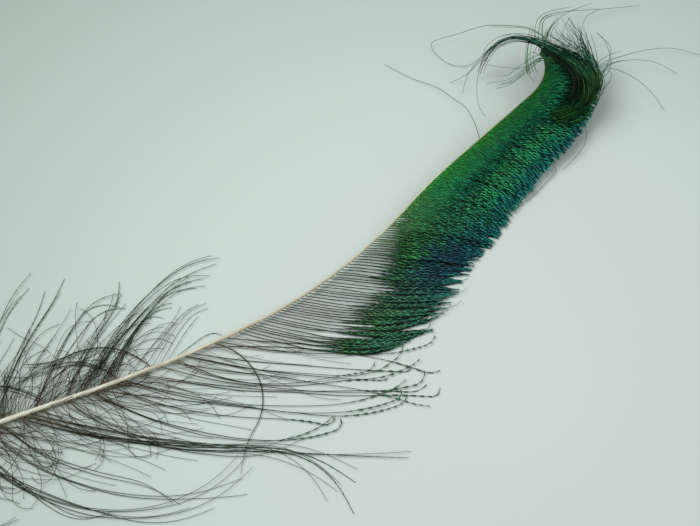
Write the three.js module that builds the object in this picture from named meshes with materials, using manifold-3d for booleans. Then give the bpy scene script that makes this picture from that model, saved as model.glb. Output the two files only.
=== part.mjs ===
// A peacock's sword feather: one long, gently curved shaft with a wide vane of green barbs on its
// outer side, loose barbs along its lower part and curling barbs at its tip. It lies on a surface.
//
// Millimetres, +Z up. The surface is z = 0, the feather runs from its quill's end (-X) to its tip
// (+X), and the origin is on the flat underside of the vane.
import Module from "manifold-3d";
import * as THREE from "three";
import { mergeVertices } from "three/addons/utils/BufferGeometryUtils.js";

const wasm = await Module();
wasm.setup();

// ---------------------------------------------------------------- driving dimensions

// The shaft's centre line, from the quill's end to the hooked tip.
const SHAFT_ROUTE = [
  [-325, 66, 1.5], [-265, 63, 1.6], [-207, 53, 1.8], [-150, 41, 2.1], [-100, 33.5, 2.3],
  [-60, 31.5, 2.6], [-30, 34, 3.2], [0, 40, 4.6], [34, 49.5, 7], [69, 55.5, 11],
  [97, 59.5, 15], [110, 62, 17], [117, 66, 18.8], [121.5, 72, 20.4], [124, 79, 21.5],
];
// The shaft's radius, by distance from the quill's end.
const SHAFT_RADIUS = [
  [0, 0.7], [6, 1.2], [25, 1.5], [60, 1.5], [118, 1.25], [200, 0.95], [257, 0.65], [320, 0.48],
  [400, 0.33], [470, 0.2],
];
const SHAFT_RINGS = 38;
const SHAFT_SIDES = 8;

// The vane's barbs, by distance from the quill's end: length, the angle between barb and shaft, how
// far the barb turns along its length, how far its end turns more, and the height of its end.
const VANE = [
  [236, 84, 46, 21, 10, 0.6],
  [257, 82, 45, 21, 12, 0.6],
  [287, 69, 45, 8, 2, 0.6],
  [307, 59, 44.5, -8, 0, 0.6],
  [327, 54, 44, -20, 0, 0.6],
  [345, 50, 44, -38, -3, 0.8],
  [364, 46, 41, -46, -5, 1.5],
  [383, 43, 41, -35, -14, 3],
  [399, 41, 37, -42, -3, 5],
  [413, 42, 27, -48, 0, 7],
  [427, 41, 14, -60, 0, 9],
  [437, 39, 6, -60, -2, 11],
  [448, 36, 3, -74, -4, 13],
];
const VANE_ROWS = 44;
const VANE_STEPS = 7;
const VANE_HALF_THICKNESS = 0.6;
// Barbs cling together in bundles, so every other row stands proud and the edge is ragged.
const RIB_HEIGHTS = [0.75, 0.35];
const EDGE_LENGTHS = [1, 0.94, 1.02, 0.96];
// The short barbs of the inner side, beside the shaft along the whole vane.
const INNER_STRIP = 1.6;
// Where a vane barb has come down from the shaft to its end's height, as a share of its length.
const VANE_SETTLED = 0.5;

// Loose barbs: distance from the quill's end, length, angle with the shaft, turn along the barb and
// more turn at its end. Angles are in degrees, and a turn is counter-clockwise seen from above.
const OUTER_BARBS = [
  [229, 93, 32, 5, 20], [225, 109, 37, 16, 18], [223, 78, 35, -156, 67],
  [216, 116, 19, -25, -5], [211, 110, 33, 7, 0], [208, 118, 36, 10, 34], [204, 107, 52, 53, -28],
  [200, 124, 33, 2, -14], [195, 132, 40, 24, 8], [183, 151, 32, 11, -2],
  [177, 141, 40, 23, 17], [170, 112, 44, 30, -22], [163, 154, 27, -2, 31], [162, 128, 50, 38, 18],
  [150, 120, 58, 52, 12], [131, 179, 34, 13, -2], [130, 160, 39, 28, -45], [126, 172, 38, 26, -74],
  [118, 96, 62, 44, -36], [112, 131, 65, 60, -8], [104, 84, 70, 26, 48], [100, 153, 71, 81, 16],
  [92, 134, 51, 19, 35], [70, 70, 74, 38, 40],
];
const INNER_BARBS = [
  [192, 66, 109, 110, -59], [176, 62, 113, 108, -30], [174, 52, 62, -34, -40], [166, 78, 48, -22, -38],
  [158, 93, 45, -26, -14], [156, 102, 53, -38, -29], [150, 66, 58, -24, 36], [142, 58, 124, 60, 40],
  [136, 74, 62, -30, -44], [120, 27, 70, 0, 0], [117, 80, 66, -36, 20], [99, 89, 56, 3, -22],
  [88, 52, 70, -40, -46], [74, 40, 78, -34, 30],
];
const LOOSE_WIDTH = 1.5;
const LOOSE_END_WIDTH = 0.7;
const BARB_THICKNESS = 0.9;
const LOOSE_SETTLED = 0.3;
const LOOSE_STEP = 13;

// The tip's curling barbs, which run along the vane to its outer edge and sweep up over the tip or
// fall to the surface, each as the points that it passes.
const TIP_BARBS = [
  // the thick crook over the tip
  [[84, 54, 12.5], [98, 46, 10.5], [113, 41.5, 10], [126, 42, 11], [135, 46, 14], [139, 53.5, 19],
    [136, 62, 23], [129.5, 72, 25.5], [121, 85, 26], [112, 92.5, 24.5], [100, 94, 20], [89, 88, 13],
    [82, 76, 5], [83, 70, 1]],
  // over the crook and down on the far side
  [[122, 73, 20.5], [128, 75, 24], [128, 92, 22], [120, 104, 18], [113, 114, 12], [102, 120, 7],
    [87, 126, 2], [86, 118, 1], [89, 108, 1], [96, 103, 1], [104, 103, 2]],
  // small curls under the crook
  [[118, 67, 19], [127, 66, 22], [120, 74, 22], [112, 75, 18], [104, 77, 11], [96, 86, 3]],
  [[111, 62, 17.5], [110, 68, 19], [112, 74, 21], [120, 84, 21], [131, 93, 18], [141, 101, 14]],
  // long wisps that fall away beyond the tip
  [[124, 78, 21.5], [130, 88, 20], [143, 99, 15], [160, 99, 9], [180, 92, 5], [202, 84, 2]],
  [[124, 77, 21.5], [134, 86, 19], [146, 93, 15], [161, 98, 9], [179, 99, 4]],
  [[106, 46, 11.5], [120, 43.5, 11], [131, 46, 14], [138, 54, 18], [144, 69, 18], [151, 82, 15],
    [161, 97, 7]],
  [[108, 45, 11], [121, 42.5, 11], [132, 44, 13], [141, 52, 16], [148, 67, 15], [155, 80, 11],
    [168, 91, 7], [180, 93, 4]],
  [[110, 43.5, 10.5], [122, 41.5, 10.5], [132, 43, 12], [144, 50, 14.5], [156, 58, 13], [164, 66, 10],
    [167, 80, 5]],
  [[112, 42.5, 10], [122, 40.5, 10], [131, 42, 11], [140, 48, 13.5], [151, 58, 12], [165, 58, 9],
    [183, 55, 6], [198, 49, 3], [208, 39, 1]],
  [[114, 41, 9.5], [123, 40, 9.5], [131, 42, 10.5], [141, 48, 12.5], [154, 56, 11], [165, 55, 9],
    [181, 47, 5], [189, 36, 1]],
  [[116, 39.5, 9], [123, 39.5, 9], [130, 41.5, 10], [139, 47, 11.5], [152, 55, 11], [161, 48, 8],
    [167, 35, 4], [167, 21, 1]],
  // wisps that leave the vane's edge and lie beside it
  [[68, 55, 11], [73, 67, 9], [76, 78, 6], [75, 87, 4], [73, 99, 2], [65, 113, 1], [58, 129, 1]],
  [[92, 48, 13], [112, 40, 10], [121, 34, 8], [117, 27, 4], [108, 23, 2], [98, 21, 1]],
  [[72, 43, 9], [88, 32, 6], [95, 23, 2], [84, 19, 1], [72, 16, 1], [60, 15, 1]],
];
const TIP_WIDTH = 1.3;
const TIP_END_WIDTH = 0.7;
const TIP_STEP = 9.5;

// ---------------------------------------------------------------- measures along the feather

const shaftCurve = new THREE.CatmullRomCurve3(SHAFT_ROUTE.map((place) => new THREE.Vector3(...place)));
shaftCurve.arcLengthDivisions = 1000;
const shaftLength = shaftCurve.getLength();

const smoothstep = (x) => THREE.MathUtils.smoothstep(x, 0, 1);
const radians = THREE.MathUtils.degToRad;

// Every column of a table after the first, blended at one value of the first.
function blend(table, at) {
  const after = table.findIndex((row) => row[0] >= at);
  if (after === 0) return table[0].slice(1);
  if (after < 0) return table.at(-1).slice(1);
  const [low, high] = [table[after - 1], table[after]];
  const share = (at - low[0]) / (high[0] - low[0]);
  return low.slice(1).map((value, column) => THREE.MathUtils.lerp(value, high[column + 1], share));
}

function shaftPlace(distance) {
  const along = Math.min(distance / shaftLength, 1);
  const tangent = shaftCurve.getTangentAt(along);
  return { point: shaftCurve.getPointAt(along), heading: Math.atan2(tangent.y, tangent.x) };
}

// The plan of one barb: points from the shaft's centre line to the barb's end. side is -1 for the
// outer vane and 1 for the inner one.
function barbPlan(side, distance, length, lean, turn, hook, steps) {
  const { point, heading } = shaftPlace(distance);
  const finest = 4;
  const step = length / (steps * finest);
  const plan = [point.clone()];
  const place = point.clone();
  for (let i = 0; i < steps * finest; i += 1) {
    const share = (i + 0.5) / (steps * finest);
    const bend = turn * share + hook * smoothstep((share - 0.65) / 0.35);
    const direction = heading + side * radians(lean) + radians(bend);
    place.x += Math.cos(direction) * step;
    place.y += Math.sin(direction) * step;
    if (i % finest === finest - 1) plan.push(place.clone());
  }
  return plan;
}

// ---------------------------------------------------------------- closed surfaces

// A closed geometry from points and the triangles between them.
function closedGeometry(points, triangles) {
  const geometry = new THREE.BufferGeometry();
  geometry.setAttribute("position", new THREE.Float32BufferAttribute(points.flatMap((p) => [...p]), 3));
  geometry.setIndex(triangles.flat());
  return geometry;
}

// A skin over rings of equal count, with a flat cap on the first and the last ring.
function loft(rings) {
  const sides = rings[0].length;
  const triangles = [];
  for (let ring = 0; ring + 1 < rings.length; ring += 1) {
    for (let side = 0; side < sides; side += 1) {
      const a = ring * sides + side;
      const b = ring * sides + ((side + 1) % sides);
      triangles.push([a, b, b + sides], [a, b + sides, a + sides]);
    }
  }
  const last = (rings.length - 1) * sides;
  for (let side = 1; side + 1 < sides; side += 1) {
    triangles.push([0, side + 1, side], [last, last + side, last + side + 1]);
  }
  return closedGeometry(rings.flat(), triangles);
}

// A plate over a grid of rows, each row a list of { top, bottom } points.
function plate(rows) {
  const across = rows[0].length;
  const bottomStart = rows.length * across;
  const points = [...rows.flat().map((cell) => cell.top), ...rows.flat().map((cell) => cell.bottom)];
  const triangles = [];
  const wall = (a, b) => triangles.push([b, a, a + bottomStart], [b, a + bottomStart, b + bottomStart]);
  for (let row = 0; row + 1 < rows.length; row += 1) {
    for (let column = 0; column + 1 < across; column += 1) {
      const a = row * across + column;
      const [b, c, d] = [a + 1, a + across + 1, a + across];
      triangles.push([a, b, c], [a, c, d]);
      triangles.push([a + bottomStart, c + bottomStart, b + bottomStart]);
      triangles.push([a + bottomStart, d + bottomStart, c + bottomStart]);
    }
    wall(row * across + across, row * across);
    wall(row * across + across - 1, (row + 1) * across + across - 1);
  }
  const lastRow = (rows.length - 1) * across;
  for (let column = 0; column + 1 < across; column += 1) {
    wall(column, column + 1);
    wall(lastRow + column + 1, lastRow + column);
  }
  return closedGeometry(points, triangles);
}

// A four-sided barb along its points, tapering to its end, with its bottom never below the surface.
function barb(points, rootWidth, endWidth) {
  const rings = points.map((point, i) => {
    const share = i / (points.length - 1);
    const before = points[Math.max(i - 1, 0)];
    const after = points[Math.min(i + 1, points.length - 1)];
    const direction = new THREE.Vector3().subVectors(after, before).normalize();
    const across = new THREE.Vector3(-direction.y, direction.x, 0).normalize();
    const up = new THREE.Vector3().crossVectors(direction, across);
    const halfWidth = THREE.MathUtils.lerp(rootWidth, endWidth, share) / 2;
    const halfHeight = Math.min(BARB_THICKNESS / 2, halfWidth);
    const corner = (a, b) => {
      const place = point.clone().addScaledVector(across, a * halfWidth).addScaledVector(up, b * halfHeight);
      place.z = Math.max(place.z, 0);
      return place;
    };
    return [corner(-1, -1), corner(1, -1), corner(1, 1), corner(-1, 1)];
  });
  return loft(rings);
}

// ---------------------------------------------------------------- the feather's parts

function shaft() {
  const rings = [];
  for (let i = 0; i <= SHAFT_RINGS; i += 1) {
    const distance = (i / SHAFT_RINGS) * shaftLength;
    const { point, heading } = shaftPlace(distance);
    const [radius] = blend(SHAFT_RADIUS, distance);
    const across = new THREE.Vector3(-Math.sin(heading), Math.cos(heading), 0);
    const ring = [];
    for (let side = 0; side < SHAFT_SIDES; side += 1) {
      const angle = ((side + 0.5) / SHAFT_SIDES) * 2 * Math.PI;
      const place = point.clone().addScaledVector(across, Math.cos(angle) * radius);
      place.z += Math.sin(angle) * radius;
      ring.push(place);
    }
    rings.push(ring);
  }
  return loft(rings);
}

// The dense vane: one row for each bundle of barbs, from the inner strip across the shaft and out
// along the barbs.
function vane() {
  const rows = [];
  const [first, last] = [VANE[0][0], VANE.at(-1)[0]];
  for (let row = 0; row < VANE_ROWS; row += 1) {
    const distance = THREE.MathUtils.lerp(first, last, row / (VANE_ROWS - 1));
    const [length, lean, turn, hook, endHeight] = blend(VANE, distance);
    const barbLength = length * EDGE_LENGTHS[row % EDGE_LENGTHS.length];
    const { point, heading } = shaftPlace(distance);
    const inner = point.clone();
    inner.x -= Math.sin(heading) * INNER_STRIP;
    inner.y += Math.cos(heading) * INNER_STRIP;
    const plan = barbPlan(-1, distance, barbLength, lean, turn, hook, VANE_STEPS);
    const rib = RIB_HEIGHTS[row % RIB_HEIGHTS.length];
    const cells = [inner, ...plan].map((place, i) => {
      const share = Math.max(i - 1, 0) / VANE_STEPS;
      const height = THREE.MathUtils.lerp(point.z, endHeight, smoothstep(share / VANE_SETTLED));
      const top = new THREE.Vector3(place.x, place.y, height + VANE_HALF_THICKNESS + rib * (1 - share));
      const bottom = new THREE.Vector3(place.x, place.y, height - VANE_HALF_THICKNESS);
      return { top, bottom };
    });
    rows.push(cells);
  }
  return plate(rows);
}

function looseBarb(side, [distance, length, lean, turn, hook]) {
  const steps = Math.round(length / LOOSE_STEP);
  const points = barbPlan(side, distance, length, lean, turn, hook, steps);
  const rootHeight = points[0].z;
  points.forEach((point, i) => {
    const settled = smoothstep(i / steps / LOOSE_SETTLED);
    point.z = THREE.MathUtils.lerp(rootHeight, BARB_THICKNESS / 2, settled);
  });
  return barb(points, LOOSE_WIDTH, LOOSE_END_WIDTH);
}

function tipBarb(route) {
  const curve = new THREE.CatmullRomCurve3(route.map((place) => new THREE.Vector3(...place)));
  return barb(curve.getSpacedPoints(Math.round(curve.getLength() / TIP_STEP)), TIP_WIDTH, TIP_END_WIDTH);
}

// ---------------------------------------------------------------- joining

function solid(geometry) {
  const merged = mergeVertices(geometry, 1e-4);
  const mesh = new wasm.Mesh({
    numProp: 3,
    vertProperties: new Float32Array(merged.attributes.position.array),
    triVerts: new Uint32Array(merged.index.array),
  });
  return new wasm.Manifold(mesh);
}

function grownTogether(geometries) {
  const joined = geometries.map(solid).reduce((whole, piece) => whole.add(piece)).getMesh();
  const geometry = new THREE.BufferGeometry();
  geometry.setAttribute("position", new THREE.BufferAttribute(new Float32Array(joined.vertProperties), 3));
  geometry.setIndex(new THREE.BufferAttribute(new Uint32Array(joined.triVerts), 1));
  geometry.computeVertexNormals();
  return geometry;
}

const featherGeometry = grownTogether([
  shaft(),
  vane(),
  ...OUTER_BARBS.map((row) => looseBarb(-1, row)),
  ...INNER_BARBS.map((row) => looseBarb(1, row)),
  ...TIP_BARBS.map(tipBarb),
]);

const feather = new THREE.Mesh(
  featherGeometry,
  new THREE.MeshStandardMaterial({ color: 0x1f6b42, roughness: 0.45, metalness: 0.1 }),
);
feather.name = "feather";

const group = new THREE.Group();
group.add(feather);

export default group;
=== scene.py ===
"""A peacock's sword feather on a pale floor, dressed barb by barb around its CAD solid.

Lengths named here are in millimetres, as in the CAD, and every mesh is written in metres.
"""
import math

import bpy
import numpy as np
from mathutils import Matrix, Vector


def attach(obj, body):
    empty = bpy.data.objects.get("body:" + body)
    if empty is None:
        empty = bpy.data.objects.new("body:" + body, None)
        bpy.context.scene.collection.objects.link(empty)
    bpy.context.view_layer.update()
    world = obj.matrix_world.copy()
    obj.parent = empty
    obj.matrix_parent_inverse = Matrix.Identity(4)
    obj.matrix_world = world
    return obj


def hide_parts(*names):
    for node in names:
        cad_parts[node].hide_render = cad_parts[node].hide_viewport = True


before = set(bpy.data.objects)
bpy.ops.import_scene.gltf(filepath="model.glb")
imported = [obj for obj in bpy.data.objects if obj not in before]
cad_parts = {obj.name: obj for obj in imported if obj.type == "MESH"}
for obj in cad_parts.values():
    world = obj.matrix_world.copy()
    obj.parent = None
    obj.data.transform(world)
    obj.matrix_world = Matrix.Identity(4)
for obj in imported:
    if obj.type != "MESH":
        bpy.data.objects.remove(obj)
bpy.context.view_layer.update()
random = np.random.default_rng(11)

MM = 0.001


def reseed(seed):
    """Each group of barbs starts from its own seed, so that one can change without the others."""
    random.bit_generator.state = np.random.default_rng(seed).bit_generator.state


# ------ driving dimensions, as in the CAD

# Many rows of VANE, OUTER_BARBS and INNER_BARBS are results of a scratch fit to lines traced on the
# photograph, rounded or evened out by hand, and a scratch script turned many of the routes' points
# from pixels into millimetres.

# the points that the shaft's middle passes, from the quill's end to the tip
SHAFT_ROUTE = [
    (-325, 66, 1.5), (-265, 63, 1.6), (-207, 53, 1.8), (-150, 41, 2.1), (-100, 33.5, 2.3),
    (-60, 31.5, 2.6), (-30, 34, 3.2), (0, 40, 4.6), (34, 49.5, 7), (69, 55.5, 11),
    (97, 59.5, 15), (110, 62, 17), (117, 66, 18.8), (121.5, 72, 20.4), (124, 79, 21.5),
]
# distance from the quill's end and the shaft's radius there
SHAFT_RADIUS = [
    (0, 0.7), (6, 1.2), (25, 1.5), (60, 1.5), (118, 1.25), (200, 0.95), (257, 0.65), (320, 0.48),
    (400, 0.33), (470, 0.2),
]
# distance from the quill's end, barb length, lean, turn, hook and the height of the barb's end
VANE = [
    (236, 84, 46, 21, 10, 0.6), (257, 82, 45, 21, 12, 0.6), (287, 69, 45, 8, 2, 0.6),
    (307, 59, 44.5, -8, 0, 0.6), (327, 54, 44, -20, 0, 0.6), (345, 50, 44, -38, -3, 0.8),
    (364, 46, 41, -46, -5, 1.5), (383, 43, 41, -35, -14, 3), (399, 41, 37, -42, -3, 5),
    (413, 42, 27, -48, 0, 7), (427, 41, 14, -60, 0, 9), (437, 39, 6, -60, -2, 11),
    (448, 36, 3, -74, -4, 13),
]
VANE_RUN_OUT = 14          # how far the vane goes on past its last row
VANE_SETTLED = 0.5         # the share of a barb by which it has come down to its end's height
HOOK_START = 0.65          # the shares of a barb where its hook starts and over which it grows
HOOK_SPAN = 0.35
# distance from the quill's end, length, lean, turn and hook
OUTER_BARBS = [
    (229, 93, 32, 5, 20), (225, 109, 37, 16, 18), (223, 78, 35, -156, 67), (216, 116, 19, -25, -5),
    (211, 110, 33, 7, 0), (208, 118, 36, 10, 34), (204, 107, 52, 53, -28), (200, 124, 33, 2, -14),
    (195, 132, 40, 24, 8), (183, 151, 32, 11, -2), (177, 141, 40, 23, 17), (170, 112, 44, 30, -22),
    (163, 154, 27, -2, 31), (162, 128, 50, 38, 18), (150, 120, 58, 52, 12), (131, 179, 34, 13, -2),
    (130, 160, 39, 28, -45), (126, 172, 38, 26, -74), (118, 96, 62, 44, -36), (112, 131, 65, 60, -8),
    (104, 84, 70, 26, 48), (100, 153, 71, 81, 16), (92, 134, 51, 19, 35), (70, 70, 74, 38, 40),
]
INNER_BARBS = [
    (192, 66, 109, 110, -59), (176, 62, 113, 108, -30), (174, 52, 62, -34, -40),
    (166, 78, 48, -22, -38), (158, 93, 45, -26, -14), (156, 102, 53, -38, -29),
    (150, 66, 58, -24, 36), (142, 58, 124, 60, 40), (136, 74, 62, -30, -44), (120, 27, 70, 0, 0),
    (117, 80, 66, -36, 20), (99, 89, 56, 3, -22), (88, 52, 70, -40, -46), (74, 40, 78, -34, 30),
]
LOOSE_SETTLED = 0.3
LOOSE_END_HEIGHT = 0.45
# the points that each curling barb of the tip passes
CROOK = [
    (84, 54, 12.5), (98, 46, 10.5), (113, 41.5, 10), (126, 42, 11), (135, 46, 14), (139, 53.5, 19),
    (136, 62, 23), (129.5, 72, 25.5), (121, 85, 26), (112, 92.5, 24.5), (100, 94, 20), (89, 88, 13),
    (82, 76, 5), (83, 70, 1),
]
FAR_LOOP = [
    (122, 73, 20.5), (128, 75, 24), (128, 92, 22), (120, 104, 18), (113, 114, 12), (102, 120, 7),
    (87, 126, 2), (86, 118, 1), (89, 108, 1), (96, 103, 1), (104, 103, 2),
]
SMALL_CURLS = [
    [(118, 67, 19), (127, 66, 22), (120, 74, 22), (112, 75, 18), (104, 77, 11), (96, 86, 3)],
    [(111, 62, 17.5), (110, 68, 19), (112, 74, 21), (120, 84, 21), (131, 93, 18), (141, 101, 14)],
]
WISPS = [
    [(124, 78, 21.5), (130, 88, 20), (143, 99, 15), (160, 99, 9), (180, 92, 5), (202, 84, 2)],
    [(124, 77, 21.5), (134, 86, 19), (146, 93, 15), (161, 98, 9), (179, 99, 4)],
    [(106, 46, 11.5), (120, 43.5, 11), (131, 46, 14), (138, 54, 18), (144, 69, 18), (151, 82, 15),
     (161, 97, 7)],
    [(108, 45, 11), (121, 42.5, 11), (132, 44, 13), (141, 52, 16), (148, 67, 15), (155, 80, 11),
     (168, 91, 7), (180, 93, 4)],
    [(110, 43.5, 10.5), (122, 41.5, 10.5), (132, 43, 12), (144, 50, 14.5), (156, 58, 13),
     (164, 66, 10), (167, 80, 5)],
    [(112, 42.5, 10), (122, 40.5, 10), (131, 42, 11), (140, 48, 13.5), (151, 58, 12), (165, 58, 9),
     (183, 55, 6), (198, 49, 3), (208, 39, 1)],
    [(114, 41, 9.5), (123, 40, 9.5), (131, 42, 10.5), (141, 48, 12.5), (154, 56, 11), (165, 55, 9),
     (181, 47, 5), (189, 36, 1)],
    [(116, 39.5, 9), (123, 39.5, 9), (130, 41.5, 10), (139, 47, 11.5), (152, 55, 11), (161, 48, 8),
     (167, 35, 4), (167, 21, 1)],
]
EDGE_WISPS = [
    [(68, 55, 11), (73, 67, 9), (76, 78, 6), (75, 87, 4), (73, 99, 2), (65, 113, 1), (58, 129, 1)],
    [(112, 40, 10), (121, 34, 8), (117, 27, 4), (108, 23, 2), (98, 21, 1)],
    [(88, 32, 6), (95, 23, 2), (84, 19, 1), (72, 16, 1), (60, 15, 1)],
]

# The band of strands that sweeps round the tip into the crook lies between these two.
SWIRL = [
    [(97, 35.5, 10), (107, 35.5, 11.5), (118, 37, 13), (128, 40, 14.5), (135, 44, 17.5), (137.5, 50, 21),
     (137, 58.5, 24), (132.5, 67.5, 26), (127, 76, 26.5), (122, 85, 25.5), (116, 93, 23), (108, 97, 18),
     (98, 95, 12), (90, 88, 6), (85, 76, 2)],
    [(92, 44, 10.5), (101, 43, 12.5), (109, 44, 15), (117, 46.5, 17), (122, 50, 19.5), (125, 55, 22),
     (125.5, 62, 24), (124, 69, 25), (123, 76, 25.5), (120, 84, 25), (115, 92, 22), (108, 96, 17),
     (99, 94, 11), (91, 87, 5), (87, 78, 2)],
]
# The crown's strands fan out from the right edge of that band, each between two of these.
CROWN = [
    [(118, 42, 15), (127, 43.5, 18), (132, 49, 21.5), (131, 58, 24), (129, 68, 25), (128, 76.5, 24),
     (128, 84, 22), (132, 93, 18)],
    [(121, 40, 15), (130, 41.5, 17), (135, 46.5, 20), (136.5, 54, 22.5), (136, 63, 23.5), (134, 74, 22),
     (135, 83, 19), (137, 91, 16)],
    [(121, 40, 15), (130, 41.5, 17), (136, 46, 20), (139, 54.5, 22), (142.5, 65, 21.5), (145, 76.5, 19),
     (147.5, 86, 16), (151, 95, 13)],
    [(121, 40, 15), (130, 41.5, 17), (137, 46.5, 19), (142.5, 54.5, 19.5), (147, 63.5, 18), (152, 72, 16),
     (158, 81, 13), (168, 88, 9)],
]
# Single hairs of the tip: two that leave the crook, two small curls and two loops beyond the edge.
TIP_HAIRS = [
    [(118, 90, 24), (111, 95.5, 20), (102, 97, 15), (95, 96.5, 10), (88, 94, 5), (82, 89, 1)],
    [(116, 91, 24), (110, 96, 19), (102, 97, 14), (95, 96.5, 7), (87, 97, 3), (81, 99, 1)],
    [(124, 69, 21), (120, 73, 21), (114, 74.5, 20), (110, 77, 17), (107, 84, 12), (104.5, 91.5, 7),
     (103.5, 96, 4)],
    [(121.5, 67.5, 21), (121, 75, 22), (118, 80, 22), (114, 78, 20), (111, 72.5, 18), (110.5, 66, 17)],
    [(134.5, 45.5, 17), (140.5, 48, 17), (147.5, 50, 15), (155.5, 55.5, 12), (163, 65.5, 8), (168.5, 76, 4),
     (169.5, 81.5, 2)],
    [(131, 42, 15), (136.5, 43, 15), (143.5, 45, 13), (150, 48.5, 11), (153.5, 53, 10), (150, 54.5, 11),
     (141, 51.5, 15)],
]

# ------ the looks' own dimensions

VANE_SEED, LOOSE_SEED, DOWN_SEED, TIP_SEED = 23, 31, 41, 52

# the vane's pieces, and the distances between which their barbs leave the shaft
VANE_PIECES = [("vane_lower", 0, 300), ("vane_middle", 300, 360), ("vane_upper", 360, 405),
               ("vane_tip", 405, 1000)]

# Each of these tables has a distance from the quill's end and what holds there:
# the gap from one barb of the vane to the next, and how much that varies
VANE_GAPS = [(236, 2.2), (290, 2.0), (320, 1.6), (350, 1.0), (380, 0.85), (450, 0.65)]
GAP_VARIATION = [(320, 0.28), (345, 0.14)]
# the length of the vane's last barbs, as a share of the length in VANE
END_LENGTH = [(440, 1), (462, 0.4)]
# the degrees between a barbule and its barb, and how many more they are at the barb's end
BARBULE_RAKE = [(300, 17), (390, 24)]
BARBULE_FAN = [(300, 0), (345, 18)]
# the share of a barb up to which its barbules stay short
BARE_SHARE = [(236, 0.47), (285, 0.35), (312, 0.15), (335, -0.06), (355, -0.4)]
# how long they are there, as a share of the others
BARE_FUZZ = [(285, 0.2), (325, 0.36)]
# the share of a barb, at its end, over which its web narrows
WEB_POINT = [(300, 0.1), (345, 0.05)]
# brightness, the share of a barb that is evenly lit, and how dark the painted shadow under the swirl makes
# its outer half
LEVEL = [(280, 0.88), (320, 1.0), (415, 1.0), (445, 1.6)]
EVENLY_LIT = [(300, 0.0), (345, 0.26)]
OUTER_SHADE = [(413, 0.0), (426, 0.85)]
# the length of the bright and dark strokes along a barb, painted highlight and shade, and how strong they
# are
STROKE_PERIOD = [(290, 3.4), (340, 5.5)]
STROKE_DEPTH = [(290, 0.82), (340, 1.0)]

DENSE_FROM = 335           # the vane's bundles are closed beyond this
OPENING = 70               # and open at their ends over this distance before it
BUNDLE_BREAK = 0.42        # how often one barb parts from the next
HOOKED = 0.5               # how many barbs of the lower vane have a bare, curled end
HOOKED_UNTIL = 300
STROKE_DELAY = 0.06        # from where a barb is no longer evenly lit to where its strokes start

RAMUS_RADIUS = 0.2
RAMUS_END_RADIUS = 0.1
RAMUS_STEP = 3             # the length of a stem's segments
VANE_RAMUS_SEGMENTS = 26
WEB_STEP = 1.3
WEB_DROP = 0.14            # how far the web lies below its barb's middle
BARBULE_SPACING = 0.3
BARBULE_WIDTH = 0.21
BARBULE_INNER, BARBULE_OUTER = 0.55, 0.45   # before and after a barbule's bend
BARBULE_PAINTED_SHADE = [0.5, 0.5, 1, 1, 1.1, 1.1]   # its brightness at the root, bend and tip: painted shade at the root, under its neighbours
HUE_SHIFT = 0.05           # how far colours drift along a barb, as a share of its length
LOWEST = 0.12              # no barb's middle lies lower than this

BEADED_FROM = 160          # outer loose barbs that leave the shaft beyond this have beads of barbules
FUZZY_LENGTH = 155         # those longer than this are fuzzy
CURL_TURN = 100            # and those that turn by more degrees than this are bare curls
# the same columns as OUTER_BARBS, for the fine hairs between loose barbs
OUTER_HAIRS = [
    (60, 60, 66, 40, 0), (110, 76, 56, 36, 0), (160, 80, 44, 22, 6), (200, 70, 40, 14, 6),
    (236, 60, 44, 12, 10),
]
INNER_HAIRS = [
    (60, 34, 70, -20, 10), (110, 54, 60, -26, -6), (160, 62, 50, -28, -16), (205, 40, 44, -20, -10),
]
DOWN_SPAN = (44, 176)      # the distances between which the down grows
DOWN_BARBS = 240
DOWN_INNER = 0.42          # how many of them are on the inner side
SWIRL_STRANDS = 78
CROWN_STRANDS = 76
TIP_ROOT = 452             # where the tip's strands grow


# ------ measures along the feather

def smoothstep(x):
    x = np.clip(x, 0, 1)
    return x * x * (3 - 2 * x)


def rises(x, start, span):
    """From 0 at start to 1 a span later."""
    return smoothstep((x - start) / span)


def catmull(points, steps=60):
    """A centripetal Catmull-Rom curve through points, as the CAD draws it."""
    ends = [2 * np.array(points[0], float) - points[1]], [2 * np.array(points[-1], float) - points[-2]]
    through = np.vstack([ends[0], np.array(points, float), ends[1]])
    curve = []
    share = np.linspace(0, 1, steps, endpoint=False)[:, None]
    for a, b, c, d in zip(through, through[1:], through[2:], through[3:]):
        first, middle, last = (max(np.sum((q - p) ** 2) ** 0.25, 1e-4) for p, q in ((a, b), (b, c), (c, d)))
        out = ((b - a) / first - (c - a) / (first + middle) + (c - b) / middle) * middle
        into = ((c - b) / middle - (d - b) / (middle + last) + (d - c) / last) * middle
        curve.append(b + out * share + (3 * (c - b) - 2 * out - into) * share ** 2
                     + (2 * (b - c) + out + into) * share ** 3)
    curve.append(through[-2][None])
    return np.vstack(curve)


def lengths_along(points):
    return np.r_[0, np.cumsum(np.linalg.norm(np.diff(points, axis=0), axis=1))]


def spaced(points, count):
    """The same curve through count points, evenly spaced."""
    travelled = lengths_along(points)
    at = np.linspace(0, travelled[-1], count)
    return np.stack([np.interp(at, travelled, points[:, i]) for i in range(3)], 1)


shaft_line = spaced(catmull(SHAFT_ROUTE), 1500)
shaft_at = lengths_along(shaft_line)
SHAFT_LENGTH = shaft_at[-1]
tangent = np.gradient(shaft_line, axis=0)
shaft_turn = np.unwrap(np.arctan2(tangent[:, 1], tangent[:, 0]))


def on_shaft(distance):
    return np.stack([np.interp(distance, shaft_at, shaft_line[:, i]) for i in range(3)], -1)


def shaft_heading(distance):
    return np.interp(distance, shaft_at, shaft_turn)


def column(table, index, distance):
    """One column of a table whose rows start with a distance, between its rows."""
    rows = np.array(sorted(table), float)
    return np.interp(distance, rows[:, 0], rows[:, index])


def value_at(table, distance):
    return column(table, 1, distance)


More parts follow.
